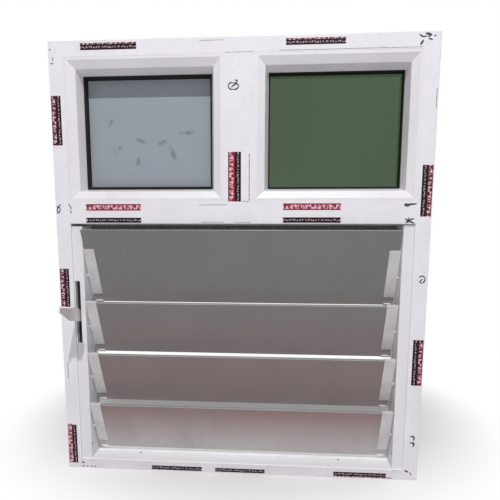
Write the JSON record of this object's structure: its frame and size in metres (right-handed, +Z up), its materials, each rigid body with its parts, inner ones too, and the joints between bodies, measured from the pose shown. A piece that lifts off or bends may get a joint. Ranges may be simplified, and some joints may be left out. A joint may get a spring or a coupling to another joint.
{
  "type": "louvre window with fixed lights over it",
  "caption": "White plastic window frame with tilting frosted glass louvre blades worked by a side lever, under a pair of fixed glazed lights.",
  "frame": {"origin": "centre of the flat underside of the frame's sill, at mid depth", "axes": "+X to the right as seen from the room, +Y to the outside, +Z up"},
  "size_m": [0.93, 0.1777, 1.089],
  "materials": {
    "white_upvc": "satin white, with protective film",
    "white_channel": "white powder coat",
    "black_gasket": "matt black",
    "frosted_glass": "frosted",
    "clear_glass": "clear, faint green",
    "grey_clip": "light grey",
    "grey_lever": "light grey",
    "plain_steel": "zinc plated"
  },
  "bodies": {
    "frame": {"frame_head": "white_upvc", "frame_sill": "white_upvc", "frame_left_stile": "white_upvc", "frame_right_stile": "white_upvc", "transom": "white_upvc", "mullion": "white_upvc", "left_light_bead_top": "white_upvc", "left_light_bead_bottom": "white_upvc", "left_light_bead_left": "white_upvc", "left_light_bead_right": "white_upvc", "left_light_pane": "frosted_glass", "left_light_gasket": "black_gasket", "left_light_outer_gasket": "black_gasket", "left_louvre_channel": "white_channel", "right_light_bead_top": "white_upvc", "right_light_bead_bottom": "white_upvc", "right_light_bead_left": "white_upvc", "right_light_bead_right": "white_upvc", "right_light_pane": "clear_glass", "right_light_gasket": "black_gasket", "right_light_outer_gasket": "black_gasket", "right_louvre_channel": "white_channel"},
    "lever": {"lever": "grey_lever"},
    "link_bar": {"link_bar": "plain_steel"},
    "louvre_1": {"blade_1": "frosted_glass", "clip_left_1": "grey_clip", "clip_right_1": "grey_clip"},
    "louvre_2": {"blade_2": "frosted_glass", "clip_left_2": "grey_clip", "clip_right_2": "grey_clip"},
    "louvre_3": {"blade_3": "frosted_glass", "clip_left_3": "grey_clip", "clip_right_3": "grey_clip"},
    "louvre_4": {"blade_4": "frosted_glass", "clip_left_4": "grey_clip", "clip_right_4": "grey_clip"}
  },
  "joints": [
    {"name": "lever_swing", "type": "hinge", "parent": "frame", "child": "lever", "pos_m": [-0.4195, -0.012, 0.419], "axis": [1, 0, 0], "range_deg": [-14, 66]},
    {"name": "link_bar_swing", "type": "hinge", "parent": "lever", "child": "link_bar", "pos_m": [-0.4195, 0.00058, 0.41286], "axis": [-1, 0, 0], "range_deg": [-14, 66]},
    {"name": "louvre_1_tilt", "type": "hinge", "parent": "frame", "child": "louvre_1", "pos_m": [0, -0.012, 0.523], "axis": [1, 0, 0], "range_deg": [-14, 66]},
    {"name": "louvre_2_tilt", "type": "hinge", "parent": "frame", "child": "louvre_2", "pos_m": [0, -0.012, 0.386], "axis": [1, 0, 0], "range_deg": [-14, 66]},
    {"name": "louvre_3_tilt", "type": "hinge", "parent": "frame", "child": "louvre_3", "pos_m": [0, -0.012, 0.249], "axis": [1, 0, 0], "range_deg": [-14, 66]},
    {"name": "louvre_4_tilt", "type": "hinge", "parent": "frame", "child": "louvre_4", "pos_m": [0, -0.012, 0.112], "axis": [1, 0, 0], "range_deg": [-14, 66]}
  ],
  "couplings": [
    {"joint": "link_bar_swing", "follows": "lever_swing", "ratio": 1},
    {"joint": "louvre_1_tilt", "follows": "lever_swing", "ratio": 1},
    {"joint": "louvre_2_tilt", "follows": "lever_swing", "ratio": 1},
    {"joint": "louvre_3_tilt", "follows": "lever_swing", "ratio": 1},
    {"joint": "louvre_4_tilt", "follows": "lever_swing", "ratio": 1}
  ]
}
